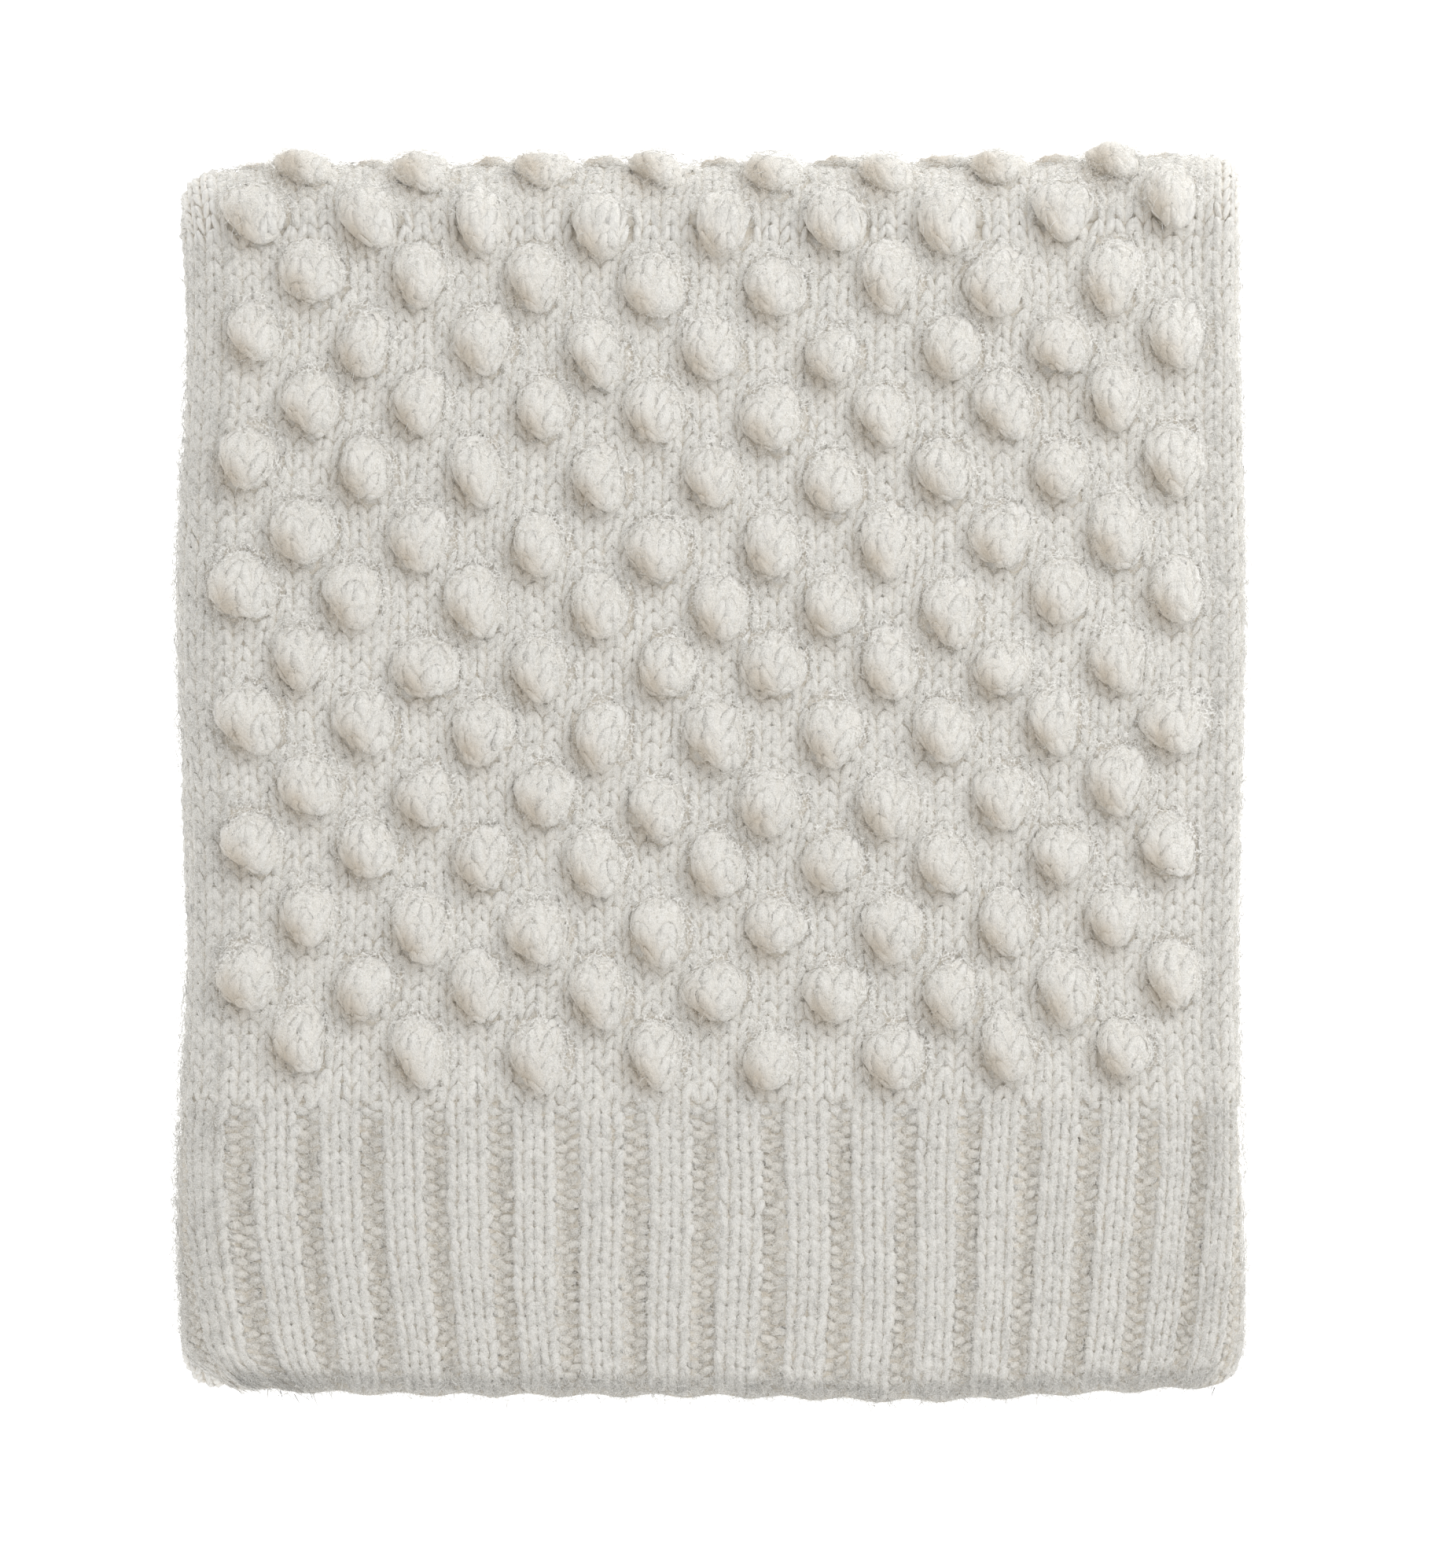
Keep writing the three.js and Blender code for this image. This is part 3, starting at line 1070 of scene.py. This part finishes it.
class THROW_OT_stitches(bpy.types.Operator):
    """Knit the columns of stitches over every right side of the cloth"""

    bl_idname = "throw.stitches"
    bl_label = "Stitches"

    def execute(self, context):
        front = front_bobbles()
        over = over_the_fold(front)
        column = sizes().column / MM
        field, fold = (HEM_Y, TOP_Y), (0.0, FOLD_ARC)
        edges = np.linspace(LEFT_END, RIGHT_SHOWN, 4)
        edges[1:3] = np.round(edges[1:3] / column) * column
        for index in range(3):
            span = (edges[index], edges[index + 1])
            stitches(f"front_stitches_{index + 1}", "top_cloth", span, field, True,
                     "front_wool", 20 + index, front)
        inner = (FREE_EDGE + 4.0, LEFT_END)
        outer = (LEFT_END, RIGHT_SHOWN)
        rings = [
            ("top_fold", "top_fold_cloth", (LEFT_X, RIGHT_X), over),
            ("top_fold_left", "top_fold_left_cloth", (LEFT_END, LEFT_X), None),
            ("top_fold_right", "top_fold_right_cloth", (RIGHT_X, RIGHT_SHOWN), None),
            ("bottom_fold_left", "bottom_fold_left_cloth", inner, None),
            ("bottom_fold_side", "bottom_fold_cloth", (LEFT_END, LEFT_X), None),
            ("bottom_fold_right", "bottom_fold_cloth", (RIGHT_X, RIGHT_END), None),
        ]
        for index, (name, sheet, span, room) in enumerate(rings):
            stitches(f"{name}_stitches", sheet, span, fold, room is not None, "front_wool",
                     40 + index, room)
        layers = [
            ("top_wing", "top_cloth", inner, field),
            ("middle_face", "middle_cloth", outer, (0.0, MIDDLE_LENGTH)),
            ("middle_wing", "middle_cloth", inner, (0.0, MIDDLE_LENGTH)),
            ("bottom_face", "bottom_cloth", outer, (0.0, BOTTOM_LENGTH)),
            ("bottom_wing", "bottom_cloth", inner, (0.0, BOTTOM_LENGTH)),
        ]
        for index, (name, sheet, span, reach) in enumerate(layers):
            stitches(f"{name}_stitches", sheet, span, reach, False, "inner_wool", 30 + index,
                     sunk=0.9)
        return {"FINISHED"}


class THROW_OT_ribs(bpy.types.Operator):
    """Knit the ribbed bands at the two free ends"""

    bl_idname = "throw.ribs"
    bl_label = "Ribbed Bands"

    def execute(self, context):
        outer = (LEFT_END - 20.0, RIGHT_SHOWN + 12.0)
        inner = (FREE_EDGE + 4.0, LEFT_END - 20.0)
        front = (FRONT_Y + 3.0, HEM_Y)
        back = (BOTTOM_LENGTH, BACK_LENGTH - 3.0)
        jobs = [
            ("front_hem_ribs", "front_hem_cloth", outer, front, True, 0.0),
            ("front_hem_wing_ribs", "front_hem_cloth", inner, front, False, 0.4),
            ("back_hem_ribs", "back_hem_cloth", outer, back, False, 0.4),
            ("back_hem_wing_ribs", "back_hem_cloth", inner, back, False, 0.4),
        ]
        for index, (name, sheet, span, reach, fine, sunk) in enumerate(jobs):
            stitches(name, sheet, span, reach, fine, "rib_wool", 50 + index, None, True, sunk)
        return {"FINISHED"}


class THROW_OT_bobbles(bpy.types.Operator):
    """Stand the bobbles on the front and press the hidden ones flat"""

    bl_idname = "throw.bobbles"
    bl_label = "Bobbles"

    def execute(self, context):
        front = front_bobbles()
        flat = front[front[:, 1] < TOP_Y + 1.0]
        turned = over_the_fold(front[front[:, 1] >= TOP_Y + 1.0])
        bobbles("front_bobbles", "top_cloth", flat, True)
        bobbles("top_fold_bobbles", "top_fold_cloth", turned, True)
        face = (LEFT_X + 6.0, RIGHT_X - 6.0)
        wing = (FREE_EDGE + 16.0, LEFT_END - 6.0)
        jobs = [
            ("top_wing", wing, (HEM_Y + 22.0, TOP_Y - 16.0)),
            ("middle_face", face, (22.0, MIDDLE_LENGTH - 16.0)),
            ("middle_wing", wing, (22.0, MIDDLE_LENGTH - 16.0)),
            ("bottom_face", face, (22.0, BOTTOM_LENGTH - 22.0)),
            ("bottom_wing", wing, (22.0, BOTTOM_LENGTH - 22.0)),
        ]
        for index, (name, span, reach) in enumerate(jobs):
            sheet = f"{name.split('_')[0]}_cloth"
            bobbles(f"{name}_bobbles", sheet, bobble_places(span, reach, 70 + index), False)
        return {"FINISHED"}


class THROW_OT_hairs(bpy.types.Operator):
    """Scatter the loose hairs that make the wool look soft"""

    bl_idname = "throw.hairs"
    bl_label = "Loose Hairs"

    def execute(self, context):
        front = front_bobbles()
        over = over_the_fold(front)
        field = (HEM_Y, TOP_Y)
        left = (LEFT_END + 8.0, LEFT_X + 6.0)
        right = (RIGHT_X - 6.0, RIGHT_END - 4.0)
        whole = (LEFT_X, RIGHT_X)
        hem = (FRONT_Y + 1.0, HEM_Y)
        tip = (FRONT_Y + 0.5, FRONT_Y + 9.0)
        jobs = [
            ("front_hairs", "top_cloth", whole, field, 20000, 91, 0.25, front),
            ("left_hairs", "top_cloth", left, field, 7000, 94, 1.0),
            ("right_hairs", "top_cloth", right, field, 4500, 95, 0.9),
            ("hem_hairs", "front_hem_cloth", whole, hem, 10000, 92, 0.25, None, True),
            ("hem_left_hairs", "front_hem_cloth", left, hem, 2800, 96, 1.0),
            ("hem_right_hairs", "front_hem_cloth", right, hem, 1500, 97, 0.9),
            ("hem_tip_hairs", "front_hem_cloth", whole, tip, 5000, 98, 0.6),
            ("top_fold_hairs", "top_fold_cloth", whole, FOLD_SHOWN, 7500, 93, 0.8, over),
        ]
        for job in jobs:
            hairs(*job)
        return {"FINISHED"}


class THROW_OT_nap(bpy.types.Operator):
    """Lay the haze of fine hairs over the front and the top fold"""

    bl_idname = "throw.nap"
    bl_label = "Nap"

    def execute(self, context):
        front = front_bobbles()
        over = over_the_fold(front)
        round_the_sides = (LEFT_END + 3.0, RIGHT_END - 3.0)
        nap("front_nap", "top_cloth", round_the_sides, (FRONT_Y + 1.0, TOP_Y), front)
        nap("top_fold_nap", "top_fold_cloth", (LEFT_X, RIGHT_X), FOLD_SHOWN, over)
        return {"FINISHED"}


class THROW_OT_declare(bpy.types.Operator):
    """Does nothing: no part of the cloth is given a sheet size here"""

    bl_idname = "throw.declare"
    bl_label = "Sheet Sizes"

    def execute(self, context):
        return {"FINISHED"}


class THROW_OT_label(bpy.types.Operator):
    """Sew the blank care label to the tucked edge of the right wing"""

    bl_idname = "throw.label"
    bl_label = "Care Label"

    def execute(self, context):
        lows, highs = (np.array(corner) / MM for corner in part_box("care_label"))
        piece = slab("care_label_tab", (24, 20))
        co = points(piece)
        span = highs - lows
        ply = 0.28
        bend = span[2] / 2 - ply / 2
        run = span[0] - bend
        path = (co[:, 0] + 0.5) * (2 * run + math.pi * bend)
        turn = np.clip((path - run) / bend, 0, math.pi)
        past = np.maximum(path - run - math.pi * bend, 0)
        radius = bend + (co[:, 2] - 0.5) * ply
        x = highs[0] - np.minimum(path, run) - radius * np.sin(turn) + past
        z = (lows[2] + highs[2]) / 2 + radius * np.cos(turn)
        y = lows[1] + (co[:, 1] + 0.5) * span[1]
        move_points(piece, np.stack([x, y, z], axis=-1))
        work = bmesh.new()
        work.from_mesh(piece.data)
        bmesh.ops.recalc_face_normals(work, faces=work.faces)
        work.to_mesh(piece.data)
        work.free()
        piece.data.materials.append(material("label_satin"))
        piece.data.shade_smooth()
        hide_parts("care_label")
        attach(piece, "top_section")
        return {"FINISHED"}


class THROW_OT_stage(bpy.types.Operator):
    """Set the plain floor, the soft light and the camera straight above the pile"""

    bl_idname = "throw.stage"
    bl_label = "Stage"

    def execute(self, context):
        work = bmesh.new()
        bmesh.ops.create_grid(work, x_segments=1, y_segments=1, size=6.0)
        bmesh.ops.translate(work, verts=work.verts, vec=(0, 0, cad_box[0][2] - 0.0005))
        floor = from_bmesh("floor", work)
        floor.data.materials.append(material("floor_paper"))
        self.lamp()
        world = bpy.data.worlds.new("studio")
        world.use_nodes = True
        sky = world.node_tree.nodes["Background"].inputs
        sky["Color"].default_value = (1, 1, 1, 1)
        sky["Strength"].default_value = 0.79
        context.scene.world = world
        context.scene.view_settings.view_transform = "Standard"
        self.camera(context)
        return {"FINISHED"}

    def lamp(self):
        data = bpy.data.lights.new("key", "AREA")
        data.shape = "DISK"
        data.size = 1.0
        data.energy = 10.5
        thing = new_object("key", data)
        thing.location = (1.25, 1.05, 1.2)
        thing.rotation_euler = (-thing.location).to_track_quat("-Z", "Y").to_euler()

    def camera(self, context):
        shown_width = 0.6047
        data = bpy.data.cameras.new("camera")
        data.sensor_fit = "HORIZONTAL"
        data.sensor_width = 36.0
        data.lens = 150.0
        thing = new_object("camera", data)
        edge_height = (TOP_Z + WIDE_TURN) * MM
        distance = shown_width * data.lens / data.sensor_width
        thing.location = (0.0069, -0.0015, edge_height + distance)
        context.scene.camera = thing


OPERATORS = (
    THROW_OT_ground, THROW_OT_stitches, THROW_OT_ribs, THROW_OT_bobbles, THROW_OT_nap,
    THROW_OT_hairs, THROW_OT_declare, THROW_OT_label, THROW_OT_stage,
)


class THROW_PT_panel(bpy.types.Panel):
    """Lists the sizes, the colours and the steps that build the throw"""

    bl_idname = "THROW_PT_panel"
    bl_label = "Folded Throw"
    bl_space_type = "VIEW_3D"
    bl_region_type = "UI"
    bl_category = "Throw"

    def draw(self, context):
        layout = self.layout
        for group in (context.scene.throw_sizes, context.scene.throw_colours):
            for name in group.__annotations__:
                layout.prop(group, name)
        for operator in OPERATORS:
            layout.operator(operator.bl_idname)


CLASSES = (ThrowSizes, ThrowColours, *OPERATORS, THROW_PT_panel)


def register():
    for item in CLASSES:
        bpy.utils.register_class(item)
    bpy.types.Scene.throw_sizes = bpy.props.PointerProperty(type=ThrowSizes)
    bpy.types.Scene.throw_colours = bpy.props.PointerProperty(type=ThrowColours)


def unregister():
    del bpy.types.Scene.throw_colours
    del bpy.types.Scene.throw_sizes
    for item in reversed(CLASSES):
        bpy.utils.unregister_class(item)


def main():
    register()
    bpy.ops.throw.ground()
    bpy.ops.throw.stitches()
    bpy.ops.throw.ribs()
    bpy.ops.throw.bobbles()
    bpy.ops.throw.nap()
    bpy.ops.throw.hairs()
    bpy.ops.throw.label()
    bpy.ops.throw.declare()
    bpy.ops.throw.stage()


if __name__ == "__main__":
    main()
